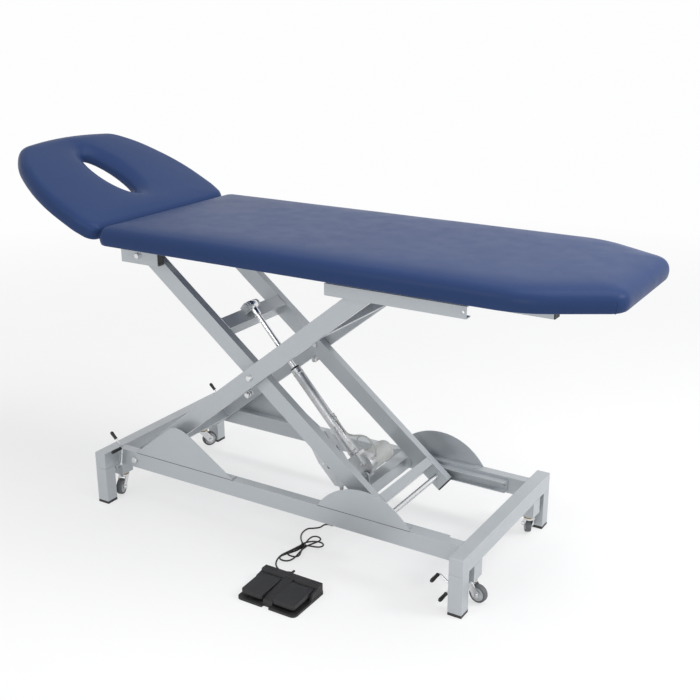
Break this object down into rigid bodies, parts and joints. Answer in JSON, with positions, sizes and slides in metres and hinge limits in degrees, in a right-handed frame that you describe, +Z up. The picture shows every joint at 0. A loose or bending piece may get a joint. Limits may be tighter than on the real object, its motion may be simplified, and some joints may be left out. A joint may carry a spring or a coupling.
{
  "type": "treatment table",
  "caption": "Padded two-section treatment table with a face opening, an electric scissor lift, retracting castors and a corded foot switch.",
  "frame": {"origin": "on the floor under the middle of the base frame", "axes": "+X along the table towards its foot end, +Y across it away from the foot switch, +Z up"},
  "size_m": [1.9068, 0.8265, 1.0695],
  "materials": {
    "painted_steel": "satin silver-grey powder coat",
    "zinc": "zinc-plated steel, semi-bright",
    "black_plastic": "matt black moulded plastic",
    "upholstery": "navy leatherette with a soft sheen",
    "board": "dark covered board",
    "tube_alu": "satin aluminium tube",
    "motor_case": "light grey moulded case",
    "box_plastic": "light grey moulded case",
    "switch_plastic": "charcoal moulded plastic",
    "castor_tyre": "grey rubber tread on a light hub",
    "cord_black": "black cord sheath",
    "cord_grey": "light grey cord sheath"
  },
  "bodies": {
    "base": {"crossbars": "painted_steel", "legs": "painted_steel", "foot_caps": "black_plastic", "castor_housings": "painted_steel", "side_rails": "painted_steel", "actuator_beam": "painted_steel", "lower_tracks": "painted_steel", "guard_plates": "painted_steel", "lower_pivot_bolts": "zinc", "control_box": "box_plastic", "beam_brackets": "painted_steel", "foot_switch_case": "switch_plastic", "foot_cable": "cord_black", "cable_hank": "cord_black", "cable_tie": "black_plastic"},
    "up_pedal": {"up_pedal": "switch_plastic"},
    "down_pedal": {"down_pedal": "switch_plastic"},
    "outer_arms": {"outer_arm_tubes": "painted_steel", "outer_arm_ties": "painted_steel", "centre_pins": "zinc"},
    "upper_rollers": {"upper_rollers": "zinc"},
    "inner_arms": {"inner_arm_tubes": "painted_steel", "inner_arm_ties": "painted_steel", "inner_arm_caps": "black_plastic", "rod_clevis": "painted_steel", "lower_axle": "zinc"},
    "lower_rollers": {"lower_rollers": "zinc"},
    "top": {"top_rails": "painted_steel", "top_cross_members": "painted_steel", "upper_tracks": "painted_steel", "pivot_brackets": "painted_steel", "upper_pivot_bolts": "zinc", "top_rail_caps": "black_plastic", "hinge_plates": "painted_steel", "deck_board": "board", "main_cushion": "upholstery"},
    "head_section": {"head_board": "board", "head_hinge_arms": "painted_steel", "head_cushion": "upholstery"},
    "drive_rod": {"actuator_rod": "zinc"},
    "drive_body": {"actuator_tube": "tube_alu", "gear_housing": "tube_alu", "motor": "motor_case", "motor_cable": "cord_grey"},
    "lever_foot_near": {"castor_lever_foot_near": "zinc"},
    "stem_foot_near": {"castor_stem_foot_near": "zinc"},
    "fork_foot_near": {"castor_fork_foot_near": "zinc"},
    "wheel_foot_near": {"castor_wheel_foot_near": "castor_tyre"},
    "lever_foot_far": {"castor_lever_foot_far": "zinc"},
    "stem_foot_far": {"castor_stem_foot_far": "zinc"},
    "fork_foot_far": {"castor_fork_foot_far": "zinc"},
    "wheel_foot_far": {"castor_wheel_foot_far": "castor_tyre"},
    "lever_head_near": {"castor_lever_head_near": "zinc"},
    "stem_head_near": {"castor_stem_head_near": "zinc"},
    "fork_head_near": {"castor_fork_head_near": "zinc"},
    "wheel_head_near": {"castor_wheel_head_near": "castor_tyre"},
    "lever_head_far": {"castor_lever_head_far": "zinc"},
    "stem_head_far": {"castor_stem_head_far": "zinc"},
    "fork_head_far": {"castor_fork_head_far": "zinc"},
    "wheel_head_far": {"castor_wheel_head_far": "castor_tyre"}
  },
  "joints": [
    {"name": "lift", "type": "hinge", "parent": "base", "child": "outer_arms", "pos_m": [-0.519, 0, 0.143], "axis": [0, -1, 0], "range_deg": [-21.5, 1.5]},
    {"name": "arm_cross", "type": "hinge", "parent": "outer_arms", "child": "inner_arms", "pos_m": [-0.09601, 0, 0.48188], "axis": [0, -1, 0], "range_deg": [-3, 43]},
    {"name": "top_level", "type": "hinge", "parent": "inner_arms", "child": "top", "pos_m": [-0.47686, 0, 0.787], "axis": [0, -1, 0], "range_deg": [-21.5, 1.5]},
    {"name": "upper_roller_spin", "type": "hinge", "parent": "outer_arms", "child": "upper_rollers", "pos_m": [0.28484, 0, 0.787], "axis": [0, 1, 0], "continuous": true},
    {"name": "lower_roller_spin", "type": "hinge", "parent": "inner_arms", "child": "lower_rollers", "pos_m": [0.32699, 0, 0.143], "axis": [0, 1, 0], "continuous": true},
    {"name": "head_tilt", "type": "hinge", "parent": "top", "child": "head_section", "pos_m": [-0.55686, 0, 0.814], "axis": [0, 1, 0], "range_deg": [-26, 2]},
    {"name": "rod_swing", "type": "hinge", "parent": "inner_arms", "child": "drive_rod", "pos_m": [-0.21147, -0.02, 0.63205], "axis": [0, -1, 0], "range_deg": [-4.94, 0.53]},
    {"name": "rod_stroke", "type": "slide", "parent": "drive_rod", "child": "drive_body", "axis": [0.669, 0, -0.7433], "range_m": [-0.1874, 0.014]},
    {"name": "up_pedal_press", "type": "hinge", "parent": "base", "child": "up_pedal", "pos_m": [0.17, -0.4105, 0.019], "axis": [1, 0, 0], "range_deg": [0, 4.5], "stiffness_Nm_per_rad": 3, "springref_deg": -2.86},
    {"name": "down_pedal_press", "type": "hinge", "parent": "base", "child": "down_pedal", "pos_m": [0.17, -0.4105, 0.019], "axis": [1, 0, 0], "range_deg": [0, 4.5], "stiffness_Nm_per_rad": 3, "springref_deg": -2.86},
    {"name": "lever_turn_foot_near", "type": "hinge", "parent": "base", "child": "lever_foot_near", "pos_m": [0.603, -0.243, 0.096], "axis": [0, 1, 0], "range_deg": [0, 40]},
    {"name": "castor_drop_foot_near", "type": "slide", "parent": "base", "child": "stem_foot_near", "axis": [0, 0, -1], "range_m": [0, 0.015]},
    {"name": "swivel_foot_near", "type": "hinge", "parent": "stem_foot_near", "child": "fork_foot_near", "pos_m": [0.605, -0.197, 0.06], "axis": [0, 0, 1], "continuous": true},
    {"name": "wheel_spin_foot_near", "type": "hinge", "parent": "fork_foot_near", "child": "wheel_foot_near", "pos_m": [0.62877, -0.20034, 0.028], "axis": [0.1392, 0.9903, 0], "continuous": true},
    {"name": "lever_turn_foot_far", "type": "hinge", "parent": "base", "child": "lever_foot_far", "pos_m": [0.603, 0.243, 0.096], "axis": [0, 1, 0], "range_deg": [0, 40]},
    {"name": "castor_drop_foot_far", "type": "slide", "parent": "base", "child": "stem_foot_far", "axis": [0, 0, -1], "range_m": [0, 0.015]},
    {"name": "swivel_foot_far", "type": "hinge", "parent": "stem_foot_far", "child": "fork_foot_far", "pos_m": [0.605, 0.197, 0.06], "axis": [0, 0, 1], "continuous": true},
    {"name": "wheel_spin_foot_far", "type": "hinge", "parent": "fork_foot_far", "child": "wheel_foot_far", "pos_m": [0.593, 0.21779, 0.028], "axis": [-0.866, -0.5, 0], "continuous": true},
    {"name": "lever_turn_head_near", "type": "hinge", "parent": "base", "child": "lever_head_near", "pos_m": [-0.603, -0.243, 0.096], "axis": [0, 1, 0], "range_deg": [0, 40]},
    {"name": "castor_drop_head_near", "type": "slide", "parent": "base", "child": "stem_head_near", "axis": [0, 0, -1], "range_m": [0, 0.015]},
    {"name": "swivel_head_near", "type": "hinge", "parent": "stem_head_near", "child": "fork_head_near", "pos_m": [-0.605, -0.197, 0.06], "axis": [0, 0, 1], "continuous": true},
    {"name": "wheel_spin_head_near", "type": "hinge", "parent": "fork_head_near", "child": "wheel_head_near", "pos_m": [-0.59679, -0.21955, 0.028], "axis": [0.9397, 0.342, 0], "continuous": true},
    {"name": "lever_turn_head_far", "type": "hinge", "parent": "base", "child": "lever_head_far", "pos_m": [-0.603, 0.243, 0.096], "axis": [0, 1, 0], "range_deg": [0, 40]},
    {"name": "castor_drop_head_far", "type": "slide", "parent": "base", "child": "stem_head_far", "axis": [0, 0, -1], "range_m": [0, 0.015]},
    {"name": "swivel_head_far", "type": "hinge", "parent": "stem_head_far", "child": "fork_head_far", "pos_m": [-0.605, 0.197, 0.06], "axis": [0, 0, 1], "continuous": true},
    {"name": "wheel_spin_head_far", "type": "hinge", "parent": "fork_head_far", "child": "wheel_head_far", "pos_m": [-0.593, 0.21779, 0.028], "axis": [-0.866, 0.5, 0], "continuous": true}
  ],
  "couplings": [
    {"joint": "arm_cross", "follows": "lift", "ratio": -2},
    {"joint": "top_level", "follows": "lift", "ratio": 1},
    {"joint": "rod_swing", "follows": "lift", "ratio": 0.22065},
    {"joint": "rod_stroke", "follows": "lift", "m_per_rad": 0.49664},
    {"joint": "castor_drop_foot_near", "follows": "lever_turn_foot_near", "m_per_rad": 0.021485},
    {"joint": "castor_drop_foot_far", "follows": "lever_turn_foot_far", "m_per_rad": 0.021485},
    {"joint": "castor_drop_head_near", "follows": "lever_turn_head_near", "m_per_rad": 0.021485},
    {"joint": "castor_drop_head_far", "follows": "lever_turn_head_far", "m_per_rad": 0.021485}
  ]
}
